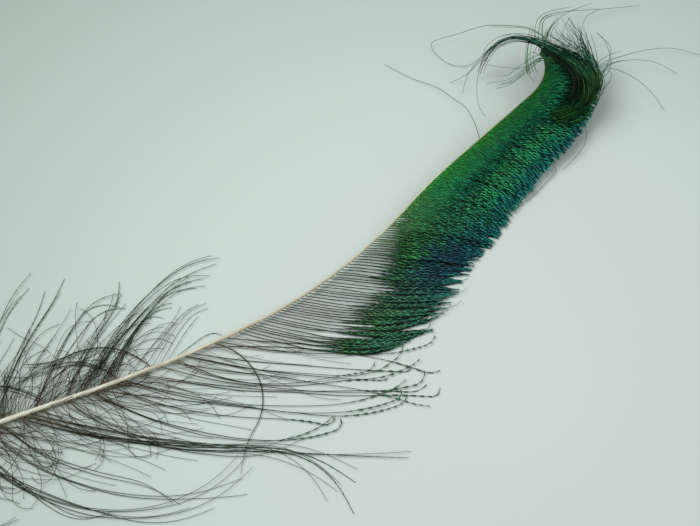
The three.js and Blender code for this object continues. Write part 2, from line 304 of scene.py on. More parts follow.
def barb_plan(side, distance, length, lean, turn, hook, steps=48):
    """One barb seen from above, from the shaft's centre line. side is -1 on the outer side."""
    share = (np.arange(steps) + 0.5) / steps
    bend = turn * share + hook * rises(share, HOOK_START, HOOK_SPAN)
    direction = shaft_heading(distance) + side * math.radians(lean) + np.radians(bend)
    step = np.stack([np.cos(direction), np.sin(direction)], 1) * length / steps
    start = on_shaft(distance)
    plan = np.vstack([start[:2], start[:2] + np.cumsum(step, 0)])
    return np.column_stack([plan, np.full(steps + 1, start[2])])


# ------ meshes

class Cloud:
    """Gathers the four-sided faces of one piece, with the values that its material reads. Every
    strip of faces gets a row of its own in the piece's texture map."""

    # tone is each face's brightness: random variation, and painted light and shade
    NAMES = ("reach", "along", "tone", "bare")

    def __init__(self):
        self.points, self.faces, self.values, self.spots = [], [], [], []
        self.count = 0

    def add(self, points, faces, values, spots):
        """values has one column for each of NAMES, and spots each face corner's place in the row."""
        self.points.append(points)
        self.faces.append(faces + self.count)
        self.values.append(values)
        self.spots.append(spots)
        self.count += len(points)

    def texture_map(self):
        """Each face corner's place in the map, with a margin between the rows."""
        rows = len(self.spots)
        places = [np.stack([spots[..., 0], (row + 0.06 + 0.88 * spots[..., 1]) / rows], -1).reshape(-1, 2)
                  for row, spots in enumerate(self.spots)]
        return np.vstack(places)

    def build(self, name, material, smooth=False):
        points = np.vstack(self.points) * MM
        faces = np.vstack(self.faces)
        values = np.vstack(self.values)
        mesh = bpy.data.meshes.new(name)
        mesh.vertices.add(len(points))
        mesh.vertices.foreach_set("co", points.astype(np.float32).ravel())
        mesh.loops.add(faces.size)
        mesh.loops.foreach_set("vertex_index", faces.astype(np.int32).ravel())
        mesh.polygons.add(len(faces))
        mesh.polygons.foreach_set("loop_start", np.arange(0, faces.size, 4, dtype=np.int32))
        mesh.polygons.foreach_set("use_smooth", np.full(len(faces), smooth))
        mesh.update(calc_edges=True)
        for index, label in enumerate(self.NAMES):
            attribute = mesh.attributes.new(label, "FLOAT", "POINT")
            attribute.data.foreach_set("value", values[:, index].astype(np.float32))
        layer = mesh.uv_layers.new(name="OFBake")
        layer.data.foreach_set("uv", self.texture_map().astype(np.float32).ravel())
        mesh.materials.append(material)
        piece = bpy.data.objects.new(name, mesh)
        bpy.context.scene.collection.objects.link(piece)
        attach(piece, "root")
        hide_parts("feather")


def frames_along(points):
    """Unit tangents, sideways directions and upward directions along a curve."""
    forward = np.gradient(points, axis=0)
    forward /= np.linalg.norm(forward, axis=1)[:, None] + 1e-9
    sideways = np.stack([-forward[:, 1], forward[:, 0], np.zeros(len(points))], 1)
    sideways /= np.linalg.norm(sideways, axis=1)[:, None] + 1e-9
    return forward, sideways, np.cross(forward, sideways)


def tube(points, radii, sides):
    """Rings of points along a curve, the faces between them and each corner's place in its row."""
    _, sideways, up = frames_along(points)
    angles = np.arange(sides) / sides * 2 * math.pi
    rings = (points[:, None] + (np.cos(angles)[None, :, None] * sideways[:, None]
             + np.sin(angles)[None, :, None] * up[:, None]) * np.asarray(radii)[:, None, None])
    ring, side = np.meshgrid(np.arange(len(points) - 1), np.arange(sides), indexing="ij")
    ring, side = ring.ravel(), side.ravel()
    a = ring * sides + side
    b = ring * sides + (side + 1) % sides
    along = np.stack([ring, ring, ring + 1, ring + 1], 1) / (len(points) - 1)
    across = np.stack([side, side + 1, side + 1, side], 1) / sides
    return rings.reshape(-1, 3), np.stack([a, b, b + sides, a + sides], 1), np.stack([along, across], -1)


def add_ramus(cloud, points, along, tone, radius=RAMUS_RADIUS, segments=None):
    """The barb's own stem."""
    count = segments or max(6, int(lengths_along(points)[-1] / RAMUS_STEP))
    line = spaced(points, count + 1)
    share = np.linspace(0, 1, count + 1)
    radii = radius + (min(RAMUS_END_RADIUS, radius) - radius) * share
    sides = 3
    vertices, faces, spots = tube(line, radii, sides)
    values = np.stack([np.repeat(share, sides), np.full(len(vertices), along / SHAFT_LENGTH),
                       np.full(len(vertices), tone), np.ones(len(vertices))], 1)
    cloud.add(vertices, faces, values, spots)


def add_shade_web(cloud, points, along, size, tone, pointed=0.1):
    """A dark strip with a ragged edge under a barb: the crossing barbules below it, darkened as painted
    shade between the barbs. It narrows over the barb's last share, pointed."""
    count = max(8, int(lengths_along(points)[-1] / WEB_STEP))
    line = spaced(points, count + 1)
    line[:, 2] = np.maximum(line[:, 2] - WEB_DROP, LOWEST / 2)
    share = np.linspace(0, 1, count + 1)
    _, sideways, _ = frames_along(line)
    half = size(share, share)[:, None] * random.uniform(0.5, 0.75, (count + 1, 2))
    half *= (1 - 0.85 * smoothstep((share - 1 + pointed) / pointed))[:, None]
    edges = np.stack([line + sideways * half[:, :1], line - sideways * half[:, 1:]], 1)
    start = np.arange(count)[:, None] * 2
    faces = start + np.array([[0, 1, 3, 2]])
    step = np.arange(count)[:, None] / count
    spots = np.stack([step + np.array([[0, 0, 1, 1]]) / count, np.tile([0, 1, 1, 0], (count, 1))], -1)
    values = np.zeros((count + 1, 2, 4))
    values[:, :, 0] = share[:, None]
    values[:, :, 1] = along / SHAFT_LENGTH
    values[:, :, 2] = tone(share)[:, None] * random.uniform(0.7, 1.3, (count + 1, 1))
    cloud.add(edges.reshape(-1, 3), faces, values.reshape(-1, 4), spots)


def add_barbules(cloud, points, along, tone, size, spacing=BARBULE_SPACING, width=BARBULE_WIDTH,
                 rake=26, fan=0, flutter=0.18):
    """The barbules on both sides of a barb, at the angle rake to it and fan more at its end. size and
    tone give each one's length and brightness by its share of the barb's length, its distance along it
    and, for tone, its side."""
    hue_phase, hue_drift = random.uniform(0, 2 * math.pi, 2)
    travelled = lengths_along(points)
    total = travelled[-1]
    count = int(total / spacing)
    if count < 2:
        return
    along_barb = frames_along(points)
    for side in (-1, 1):
        at = (np.arange(count) + 0.5 + random.uniform(-0.4, 0.4, count)) / count * total
        length = size(at / total, at) * random.uniform(0.75, 1.15, count)
        at, length = at[length > 0.1], length[length > 0.1]
        share, number = at / total, len(at)
        if not number:
            continue
        root, ahead, across, above = (
            np.stack([np.interp(at, travelled, data[:, i]) for i in range(3)], 1)
            for data in (points, *along_barb))
        spread = rake + fan * rises(share, 0.8, 0.2)
        angle = np.radians(spread + random.normal(0, 7, number))[:, None]
        lift = random.normal(0.04, flutter, number)[:, None]
        out = np.cos(angle) * ahead + np.sin(angle) * across * side + lift * above
        bent = np.cos(angle * 0.55) * ahead + np.sin(angle * 0.55) * across * side + (lift - 0.12) * above
        middle = root + out * (length * BARBULE_INNER)[:, None]
        tip = middle + bent * (length * BARBULE_OUTER)[:, None]
        flat = np.cross(out, above)
        flat /= np.linalg.norm(flat, axis=1)[:, None] + 1e-9
        wide = flat * (width * random.uniform(0.8, 1.2, number))[:, None] / 2
        vertices = np.stack([root - wide * 0.7, root + wide * 0.7, middle + wide, middle - wide,
                             tip + wide * 0.35, tip - wide * 0.35], 1)
        vertices[:, :, 2] = np.maximum(vertices[:, :, 2], LOWEST / 2)
        base = np.arange(number)[:, None] * 6
        faces = np.stack([base + np.array([[0, 1, 2, 3]]), base + np.array([[3, 2, 4, 5]])], 1)
        cell = np.arange(number)[:, None, None] / number
        step = cell + np.array([[[0, 0, 0.5, 0.5], [0.5, 0.5, 1, 1]]]) / number
        spots = np.stack([step, np.tile([[0, 1, 1, 0]], (number, 2, 1))], -1)
        values = np.zeros((number, 6, 4))
        hue = HUE_SHIFT * np.sin(at / 1.3 + hue_phase) + HUE_SHIFT * np.sin(at / 4 + hue_drift)
        values[:, :, 0] = (share + hue)[:, None]
        values[:, :, 1] = along / SHAFT_LENGTH
        values[:, :, 2] = tone(share, at, side)[:, None] * np.array(BARBULE_PAINTED_SHADE)[None]
        cloud.add(vertices.reshape(-1, 3), faces.reshape(-1, 4), values.reshape(-1, 4),
                  spots.reshape(-1, 4, 2))


def wander(points, amount, wave=22):
    """Small unplanned bends in a barb, none at its root."""
    travelled = lengths_along(points)
    total = travelled[-1]
    knots = max(3, int(total / wave) + 2)
    _, sideways, _ = frames_along(points)
    grow = smoothstep(travelled / max(total * 0.4, 1))
    across = np.interp(travelled, np.linspace(0, total, knots), random.normal(0, amount, knots))
    window = 9
    kernel = np.hanning(window) / np.hanning(window).sum()
    across = np.convolve(np.pad(across, window // 2, mode="edge"), kernel, "valid")
    return points + sideways * (across * grow)[:, None]


# ------ the vane

def vane_height(distance, share, root_height):
    end = column(VANE, 5, distance)
    return root_height + (end - root_height) * smoothstep(share / VANE_SETTLED)


def vane_positions():
    """Where each barb of the vane leaves the shaft."""
    at = [VANE[0][0]]
    while at[-1] < VANE[-1][0] + VANE_RUN_OUT:
        uneven = value_at(GAP_VARIATION, at[-1])
        at.append(at[-1] + value_at(VANE_GAPS, at[-1]) * random.uniform(1 - uneven, 1 + uneven))
    return np.array(at)


def vane_barbs():
    """The plans of the vane's barbs, drawn together in bundles at their ends."""
    at = vane_positions()
    parted = random.random(len(at)) < BUNDLE_BREAK
    parted[0] = False
    bundle = np.cumsum(parted)
    count = bundle[-1] + 1
    members = [np.flatnonzero(bundle == group) for group in range(count)]
    openness = smoothstep((DENSE_FROM - np.array([at[inside].mean() for inside in members])) / OPENING)
    # each bundle's length, extra turn, height above the next and how far its barbs' ends close up
    stretch = random.uniform(0.985 - 0.06 * openness, 1.02, count)
    sway = random.normal(0, 2 + 4 * openness, count)
    rise = random.uniform(-0.1, 0.7, count)
    grip = random.uniform(0, 0.15 + 0.5 * openness, count)
    barbs = []
    for i, (distance, group) in enumerate(zip(at, bundle)):
        across = (i - members[group].mean()) / (len(members[group]) / 2)
        length, lean, turn, hook = (float(column(VANE, k, distance)) for k in (1, 2, 3, 4))
        length *= stretch[group] * (1 - (0.015 + 0.035 * openness[group]) * across ** 2)
        length *= random.uniform(0.98 - 0.06 * openness[group], 1.015 + 0.005 * openness[group])
        length *= value_at(END_LENGTH, distance)
        barbs.append(barb_plan(-1, distance, length, lean, turn, hook + sway[group]
                               + random.normal(0, 2 + 3 * openness[group])))
    share = np.linspace(0, 1, len(barbs[0]))
    for inside, held in zip(members, grip):
        middle = np.mean([barbs[i] for i in inside], axis=0)
        pull = held * rises(share, 0.78, 0.22)[:, None]
        for i in inside:
            barbs[i] = barbs[i] + (middle - barbs[i]) * pull
    for i, distance in enumerate(at):
        barbs[i] = wander(barbs[i], 0.12 * value_at(VANE_GAPS, distance), 12)
        height = vane_height(distance, share, barbs[i][0, 2])
        lifted = height + 0.15 + rise[bundle[i]] * smoothstep(share * 1.6) + random.uniform(-0.12, 0.12)
        barbs[i][:, 2] = np.maximum(lifted, LOWEST + 0.1)
    return at, barbs


def gaps_between(barbs, window=9):
    """How far apart the vane's barbs lie at each step along them, evened out over a few barbs."""
    plan = np.array(barbs)[:, :, :2]
    ahead = np.gradient(plan, axis=1)
    ahead /= np.linalg.norm(ahead, axis=2)[:, :, None] + 1e-9
    step = np.diff(plan, axis=0)
    across = np.abs(step[:, :, 0] * ahead[:-1, :, 1] - step[:, :, 1] * ahead[:-1, :, 0])
    padded = np.pad(across, ((window // 2, window // 2 + 1), (0, 0)), mode="edge")
    return np.stack([padded[i: i + window].mean(axis=0) for i in range(len(barbs))])


def vane_barbule_size(distance, gaps):
    """Barbules that reach the next barb: from the shaft on in the dense part, and later along the
    barb below it."""
    bare_until = value_at(BARE_SHARE, distance) + random.normal(0, 0.03)
    full = 0.35 + 1.1 * np.minimum(gaps, 2.4)
    fuzz = value_at(BARE_FUZZ, distance)

    def size(share, _):
        grown = np.clip((share - bare_until) / 0.3, 0, 1) ** 1.5
        ends = 1 - 0.3 * rises(share, 0.9, 0.1)
        return np.interp(share, np.linspace(0, 1, len(full)), full) * (fuzz + (1 - fuzz) * grown) * ends
    return size


def hooked(points, reach=1.0):
    """A barb with a curled end."""
    steps = 8
    travelled = lengths_along(points)[-1]
    heading = math.atan2(*(points[-1] - points[-4])[1::-1])
    turn = heading + math.radians(random.uniform(10, 110)) * np.linspace(0, 1, steps + 1)[1:]
    ahead = np.stack([np.cos(turn), np.sin(turn), np.zeros(steps)], 1)
    step = ahead * random.uniform(0.06, 0.15) * reach / steps
    return np.vstack([points, points[-1] + np.cumsum(step * travelled, 0)])


def strokes(period, onset, level=1.0, least=0.0, most=1.0, shaded=0.0):
    """Brightness along a barb, broken beyond onset into strokes where its barbules clump: the bright
    strokes are painted highlights and the dark ones painted shade. least and most are how broken it is
    before and beyond that, and shaded how dark the painted shadow under the swirl makes its outer half, up
    to its rim."""
    phase, drift = random.uniform(0, 2 * math.pi, 2)
    shade = level * random.uniform(0.82, 1.15)

    def tone(share, at, side):
        turn = at * 2 * math.pi / period + phase + side * 1.3 + 2.2 * np.sin(at / 8 + drift)
        stroke = np.clip(0.45 + 1.1 * np.sin(turn), 0.05, 1)
        broken = least + (most - least) * rises(share, onset, 0.25)
        rim = rises(share, 0.84, 0.1)
        # painted shadow under the swirl over the outer half, lighter again at the rim
        outer = 1 - shaded * rises(share, 0.45, 0.2) * (1 - 0.8 * rim)
        return shade * outer * (1 - broken * (1 - 1.6 * stroke)) * random.uniform(0.65, 1.2, len(at))
    return tone


def add_vane_barb(cloud, distance, points, gaps):
    """One barb of the vane: its web of painted shade, its stem and its barbules."""
    size = vane_barbule_size(distance, gaps)
    evenly_lit = value_at(EVENLY_LIT, distance)
    # the web's tone is painted shade, darkest beyond the share of the barb that is evenly lit
    add_shade_web(cloud, points, distance, size,
            lambda share: 0.07 + 0.4 * (1 - rises(share, evenly_lit, 0.15)),
            pointed=value_at(WEB_POINT, distance))
    hooks = random.random() < HOOKED * (distance < HOOKED_UNTIL)
    add_ramus(cloud, hooked(points) if hooks else points, distance, random.uniform(0.5, 1.2),
              segments=VANE_RAMUS_SEGMENTS)
    tone = strokes(value_at(STROKE_PERIOD, distance), STROKE_DELAY + evenly_lit,
                   value_at(LEVEL, distance), least=0.5, most=value_at(STROKE_DEPTH, distance),
                   shaded=value_at(OUTER_SHADE, distance))
    add_barbules(cloud, points, distance, tone, size, rake=value_at(BARBULE_RAKE, distance),
                 fan=value_at(BARBULE_FAN, distance))


def make_vane(material):
    """All barbs of the vane, in one piece for each stretch of it."""
    reseed(VANE_SEED)
    at, barbs = vane_barbs()
    gaps = gaps_between(barbs)
    for name, low, high in VANE_PIECES:
        cloud = Cloud()
        for distance, points, gap in zip(at, barbs, gaps):
            if low <= distance < high:
                add_vane_barb(cloud, distance, points, gap)
        cloud.build(name, material)


# ------ loose barbs

def loose_line(side, row, settle=LOOSE_SETTLED, bend=0.45):
    """A loose barb's points. It has come down to the floor by the share settle of its length."""
    points = wander(barb_plan(side, *row, steps=64), bend, 30)
    share = np.linspace(0, 1, len(points))
    root = points[0, 2]
    points[:, 2] = root + (LOOSE_END_HEIGHT - root) * smoothstep(share / settle)
    points[:, 2] += random.uniform(0, 0.8) * smoothstep(share * 2)
    return points


def near(row, spread):
    """A barb that clings to another and parts from it towards its end."""
    distance, length, lean, turn, hook = row
    return (distance + random.normal(0, 1.2 * spread), length * random.uniform(1 - 0.16 * spread, 1.01),
            lean + random.normal(0, 1.2 * spread), turn + random.normal(0, 4 * spread),
            hook + random.normal(0, 16 * spread))


def between(table, low, high, count, spread):
    """More barbs like those in a table, at places between them, each a little different."""
    rows = []
    for distance in np.linspace(low, high, count) + random.uniform(-1, 1, count):
        row = [distance] + [float(column(table, i, distance)) for i in (1, 2, 3, 4)]
        row[1] *= random.uniform(1 - spread, 1 + 0.3 * spread)
        row[2] += random.normal(0, 10 * spread)
        row[3] += random.normal(0, 28 * spread)
        row[4] += random.normal(0, 40 * spread)
        rows.append(row)
    return rows


def beads(full, onset, period, depth):
    """Barbule lengths beyond onset, in uneven beads: depth 1 leaves bare gaps between them."""
    phase, drift = random.uniform(0, 2 * math.pi, 2)

    def size(share, at):
        turn = at * 2 * math.pi / period + phase + 2.4 * np.sin(at / (1.7 * period) + drift)
        bead = 1 - depth * (1 - np.clip(0.4 + 1.3 * np.sin(turn), 0, 1))
        return full * rises(share, onset, 0.16) * bead * (1 - 0.5 * rises(share, 0.85, 0.15))
    return size


def add_loose(cloud, side, row, full=1.0, onset=0.7, depth=1.0, radius=0.24, tone=0.65, curled=False):
    """One loose barb, with barbules up to full long from onset on, and with a curled end if curled."""
    points = loose_line(side, row)
    if curled:
        points = hooked(points[:-4], 0.6)
    add_ramus(cloud, points, row[0], tone * random.uniform(0.7, 1.1), radius=radius)
    if full:
        lengths = beads(full, onset, random.uniform(3.2, 5), depth)
        add_barbules(cloud, points, row[0], strokes(1.3, 2), lengths, width=0.24,
                     rake=38 if curled else 26, flutter=0.2)


def add_outer_barb(cloud, row):
    """A loose barb of the outer side and up to two more that cling to it."""
    curls = abs(row[3]) > CURL_TURN
    beaded = row[0] > BEADED_FROM and not curls
    depth = random.uniform(0.55, 1)
    if row[1] > FUZZY_LENGTH:
        add_loose(cloud, -1, row, full=0.6, onset=0.25, depth=0.3, radius=0.36)
    else:
        add_loose(cloud, -1, row, full=0.98 if beaded else 0.0, depth=depth,
                  radius=0.42 if curls else 0.3, curled=beaded)
    for _ in range(0 if curls else random.integers(0, 2) + (not beaded)):
        add_loose(cloud, -1, near(row, 0.6), full=0.78 if beaded else 0.0, depth=depth, curled=beaded)


def make_loose(material):
    """The long loose barbs of both sides, with fine hairs between them."""
    reseed(LOOSE_SEED)
    outer = Cloud()
    for row in OUTER_BARBS:
        add_outer_barb(outer, row)
    for row in between(OUTER_HAIRS, 96, 234, 44, 0.4):
        add_loose(outer, -1, row, full=0.0, radius=random.uniform(0.09, 0.14), tone=2.0)
    outer.build("loose_outer", material)
    inner = Cloud()
    for row in INNER_BARBS:
        add_loose(inner, 1, row, full=0.5, onset=0.2, depth=0.4, radius=0.3)
        for _ in range(2):
            add_loose(inner, 1, near(row, 1.0), full=0.4, onset=0.2, depth=0.4, radius=0.2)
    for row in between(INNER_HAIRS, 84, 204, 30, 0.4):
        add_loose(inner, 1, row, full=random.uniform(0.0, 0.4), onset=0.2, depth=0.5, radius=0.15)
    inner.build("loose_inner", material)


def make_down(material):
    """The fine, tangled, dark barbs near the quill."""
    reseed(DOWN_SEED)
    cloud = Cloud()
    for distance in np.linspace(*DOWN_SPAN, DOWN_BARBS):
        side = 1 if random.random() < DOWN_INNER else -1
        row = (distance + random.uniform(-1, 1), random.uniform(14, 56), random.uniform(24, 84),
               random.normal(0, 50) - side * 20, random.normal(0, 80))
        points = loose_line(side, row, settle=0.5, bend=1.2)
        points[:, 2] += random.uniform(0, 3.5) * np.sin(np.linspace(0, math.pi, len(points)))
        add_ramus(cloud, points, distance, random.uniform(0.5, 1.1), radius=random.uniform(0.12, 0.22))
        add_barbules(cloud, points, distance, strokes(3, 2, 0.8), lambda share, at: 0.35 + 0 * share,
                     spacing=0.9, width=0.14, rake=40)
    cloud.build("down", material)


# ------ the tip

def strand(route, offset=(0, 0), spread=0.0, gather=0.25):
    """A barb beside a route, further from it towards its end and, by gather, at its root."""
    points = spaced(catmull(route, 24), 60)
    _, sideways, up = frames_along(points)
    share = np.linspace(0, 1, len(points))
    push = offset[0] * sideways + offset[1] * up
    apart = 0.25 + (gather - 0.25) * (1 - smoothstep(share / 0.4)) + spread * share ** 1.5
    shifted = points + push * apart[:, None]
    shifted[:, 2] = np.maximum(shifted[:, 2], LOWEST + 0.2)
    return shifted


def blended(first, second, share):
    """A route's points between those of two others."""
    return [tuple(a + (b - a) * share for a, b in zip(p, q)) for p, q in zip(first, second)]


def add_tip_strand(cloud, points, full, radius=0.2, tone=1.0):
    """One strand, with barbules that are full long at its root, or none."""
    add_ramus(cloud, points, TIP_ROOT, tone * random.uniform(0.7, 1.2), radius=radius)
    if full:
        add_barbules(cloud, points, TIP_ROOT, strokes(4.5, -1, tone),
                     lambda share, at: full * (1 - 0.8 * share) + 0 * at, spacing=0.4, width=0.2, rake=24)


def cut(points, share, root=0.0):
    """What lies between two shares of a curve."""
    start = int(len(points) * root)
    return points[start: max(start + 6, int(len(points) * share))]


def add_swirl(cloud):
    """The band that sweeps round the tip, with a painted highlight in one streak along it."""
    for place in np.linspace(-0.05, 1.05, SWIRL_STRANDS):
        points = strand(blended(*SWIRL, place), random.normal(0, (0.9, 0.8)), 1.2, gather=1.4)
        # painted highlight: brightest in one streak along the band
        painted_highlight = 0.14 + 1.15 * math.exp(-((place - 0.3) / 0.2) ** 2)
        end = 0.44 + 0.44 * random.random() ** 2
        line = cut(wander(points, 1.0), end, random.uniform(0.19, 0.42))
        tone = painted_highlight * random.choice([0.25, 0.7, 1.6])
        add_tip_strand(cloud, line, random.choice([0.3, 0.75]), tone=tone)


def add_crown(cloud):
    """The strands that fan out from the band, above the crook."""
    for _ in range(CROWN_STRANDS):
        left = random.integers(len(CROWN) - 1)
        route = blended(CROWN[left], CROWN[left + 1], random.random())
        points = strand(route, random.normal(0, (1.4, 1.2)), 2.2, gather=0.8)
        line = cut(wander(points, 2.2, 18), random.uniform(0.6, 1), random.uniform(0, 0.3))
        full = random.choice([0.0, 0.35, 0.7])
        add_tip_strand(cloud, line, full, radius=random.uniform(0.14, 0.28), tone=random.uniform(0.3, 0.9))


def add_curls(cloud):
    """The crook, the loop behind it and the small curls beside the shaft."""
    for end in (1, 0.86, 0.8, 0.74):
        points = strand(CROOK, random.normal(0, (1.0, 0.6)), 1.2, gather=1.5)
        add_tip_strand(cloud, cut(wander(points, 0.4), end, 0.2), 0.5, tone=0.8)
    for end, side in ((1, 0), (0.42, 2.2)):
        add_tip_strand(cloud, cut(strand(FAR_LOOP, (side, 0), 1.2), end), 0.0, radius=0.22, tone=0.7)
    for route in SMALL_CURLS:
        for _ in range(5):
            points = strand(route, random.normal(0, (1.2, 0.7)), 2.6, gather=1.5)
            add_tip_strand(cloud, cut(wander(points, 0.4), random.uniform(0.7, 1), 0.16), 0.4, radius=0.18)


def add_wisps(cloud):
    """The long single barbs that leave the tip, with shorter ones beside some, and single hairs."""
    for route in WISPS:
        add_tip_strand(cloud, strand(route), 0.0, radius=0.24)
        for _ in range(4):
            points = strand(route, random.normal(0, (1.6, 0.9)), 1.8, gather=1.6)
            add_tip_strand(cloud, cut(wander(points, 0.6), random.uniform(0.3, 0.6)), 0.5, radius=0.18)
    for route in EDGE_WISPS + TIP_HAIRS:
        add_tip_strand(cloud, strand(route), 0.0, tone=0.6)


def make_tip(material):
    reseed(TIP_SEED)
    cloud = Cloud()
    for add_part in (add_swirl, add_crown, add_curls, add_wisps):
        add_part(cloud)
    cloud.build("tip_curls", material)


# ------ the shaft

def make_shaft(material):
    rings, sides = 320, 16
    distance = np.linspace(0, SHAFT_LENGTH, rings)
    vertices, faces, spots = tube(on_shaft(distance), value_at(SHAFT_RADIUS, distance), sides)
    cloud = Cloud()
    around = np.tile(np.arange(sides) / sides, rings)
    values = np.stack([around, np.repeat(distance / SHAFT_LENGTH, sides),
                       np.ones(len(vertices)), np.ones(len(vertices))], 1)
    cloud.add(vertices, faces, values, spots)
    cloud.build("shaft", material, smooth=True)


# ------ materials

def srgb(red, green, blue):
    """A colour named by its 8-bit values, as the renderer's linear values."""
    return tuple(((v / 255 + 0.055) / 1.055) ** 2.4 if v > 10 else v / 255 / 12.92
                 for v in (red, green, blue)) + (1,)


class Nodes:
    """A small helper that makes and joins the nodes of one material."""

    def __init__(self, name):
        self.material = bpy.data.materials.new(name)
        self.material.use_nodes = True
        self.tree = self.material.node_tree
        self.shader = self.tree.nodes["Principled BSDF"]

    def node(self, kind, **settings):
        made = self.tree.nodes.new(kind)
        for key, value in settings.items():
            setattr(made, key, value)
        return made

    def link(self, source, target):
        self.tree.links.new(source, target)

    def feed(self, socket, value):
        if isinstance(value, bpy.types.NodeSocket):
            self.link(value, socket)
        else:
            socket.default_value = value

    def attribute(self, name):
        return self.node("ShaderNodeAttribute", attribute_name=name).outputs["Fac"]

    def ramp(self, source, stops):
        made = self.node("ShaderNodeValToRGB")
        elements = made.color_ramp.elements
        elements[0].position, elements[0].color = stops[0]
        elements[1].position, elements[1].color = stops[-1]
        for position, colour in stops[1:-1]:
            elements.new(position).color = colour
        self.link(source, made.inputs["Fac"])
        return made.outputs["Color"]

    def range(self, source, low, high, to_low=0.0, to_high=1.0):
        made = self.node("ShaderNodeMapRange")
        self.link(source, made.inputs["Value"])
        for label, value in zip(("From Min", "From Max", "To Min", "To Max"), (low, high, to_low, to_high)):
            made.inputs[label].default_value = value
        return made.outputs["Result"]

    def math(self, operation, *values):
        made = self.node("ShaderNodeMath", operation=operation)
        for socket, value in zip(made.inputs, values):
            self.feed(socket, value)
        return made.outputs[0]

    def mix(self, share, first, second, blend="MIX"):
        """Two colours mixed. A mix node has its colours' sockets after those of other kinds."""
        made = self.node("ShaderNodeMix", data_type="RGBA", blend_type=blend)
        for index, value in ((0, share), (6, first), (7, second)):
            self.feed(made.inputs[index], value)
        return made.outputs[2]

    def noise(self, scale, detail=3.0, stretch=(1, 1, 1)):
        place = self.node("ShaderNodeTexCoord").outputs["Object"]
        mapping = self.node("ShaderNodeMapping")
        mapping.inputs["Scale"].default_value = stretch
        self.link(place, mapping.inputs["Vector"])
        made = self.node("ShaderNodeTexNoise")
        made.inputs["Scale"].default_value = scale
        made.inputs["Detail"].default_value = detail
        self.link(mapping.outputs["Vector"], made.inputs["Vector"])
        return made.outputs["Fac"]


# between which distances from the quill's end one part's colours turn into the next one's
LOOSE_TO_LOWER, LOWER_TO_MIDDLE, MIDDLE_TO_UPPER = (228, 240), (262, 300), (320, 362)
TIP_COLOURS = (405, 450)   # between these a barb's colours are drawn out, until its end has
TIP_REACH = 0.6            # what others have at this share of their length


def by_stretch(n, along, lower, middle, upper, loose):
    """One of four colours, by where the barb leaves the shaft."""
    def past(low, high):
        return n.range(along, low / SHAFT_LENGTH, high / SHAFT_LENGTH)
    colour = n.mix(past(*LOWER_TO_MIDDLE), lower, middle)
    colour = n.mix(past(*MIDDLE_TO_UPPER), colour, upper)
    return n.mix(past(*LOOSE_TO_LOWER), loose, colour)


def barb_material():
    """Green barbs: the colour runs from lime at the shaft through green and teal to dark blue."""
    n = Nodes("barbs")
    along = n.attribute("along")
    ripple = n.math("MULTIPLY_ADD", n.noise(240, 3), 0.3, -0.15)
    held = n.range(along, *(limit / SHAFT_LENGTH for limit in TIP_COLOURS), 1.0, TIP_REACH)
    reach = n.math("MULTIPLY", n.math("ADD", n.attribute("reach"), ripple), held)
    green = by_stretch(
        n, along,
        lower=n.ramp(reach, [
            (0.0, srgb(130, 140, 118)), (0.35, srgb(104, 130, 92)), (0.6, srgb(74, 130, 82)),
            (0.8, srgb(54, 116, 86)), (1.0, srgb(54, 114, 92))]),
        middle=n.ramp(reach, [
            (0.0, srgb(126, 160, 116)), (0.22, srgb(80, 138, 82)), (0.42, srgb(62, 138, 80)),
            (0.56, srgb(44, 104, 94)), (0.68, srgb(36, 78, 92)), (0.83, srgb(32, 76, 96)),
            (0.93, srgb(30, 110, 112)), (1.0, srgb(38, 128, 116))]),
        upper=n.ramp(reach, [
            (0.0, srgb(66, 174, 76)), (0.25, srgb(54, 172, 108)), (0.38, srgb(38, 142, 104)),
            (0.48, srgb(26, 92, 76)), (0.56, srgb(56, 158, 94)), (0.68, srgb(56, 168, 112)),
            (0.8, srgb(42, 152, 118)), (0.91, srgb(30, 114, 118)), (1.0, srgb(36, 140, 122))]),
        loose=n.ramp(reach, [
            (0.0, srgb(74, 78, 54)), (0.4, srgb(44, 86, 54)), (1.0, srgb(44, 98, 62))]))
    stem = by_stretch(
        n, along,
        lower=n.ramp(reach, [
            (0.0, srgb(104, 98, 76)), (0.3, srgb(66, 72, 48)), (0.6, srgb(34, 56, 36)),
            (1.0, srgb(22, 40, 32))]),
        middle=n.ramp(reach, [
            (0.0, srgb(94, 122, 82)), (0.3, srgb(56, 88, 52)), (0.7, srgb(12, 40, 38)),
            (1.0, srgb(22, 72, 70))]),
        upper=n.ramp(reach, [
            (0.0, srgb(70, 128, 50)), (0.3, srgb(20, 76, 42)), (0.7, srgb(8, 36, 34)),
            (1.0, srgb(18, 74, 70))]),
        loose=n.ramp(reach, [
            (0.0, srgb(146, 134, 108)), (0.14, srgb(96, 90, 68)), (0.4, srgb(58, 64, 50)),
            (1.0, srgb(36, 54, 40))]))
    colour = n.mix(n.attribute("bare"), green, stem)
    colour = n.mix(1.0, colour, n.attribute("tone"), "MULTIPLY")
    n.link(colour, n.shader.inputs["Base Color"])
    n.shader.inputs["Roughness"].default_value = 0.38
    n.shader.inputs["Metallic"].default_value = 0.5
    n.shader.inputs["Specular IOR Level"].default_value = 0.13
    return n.material


def strand_material(name, stops):
    """Dull strands, with one colour ramp from root to end."""
    n = Nodes(name)
    colour = n.mix(1.0, n.ramp(n.attribute("reach"), stops), n.attribute("tone"), "MULTIPLY")
    n.link(colour, n.shader.inputs["Base Color"])
    n.shader.inputs["Roughness"].default_value = 0.5
    n.shader.inputs["Metallic"].default_value = 0.2
    n.shader.inputs["Specular IOR Level"].default_value = 0.1
    return n.material


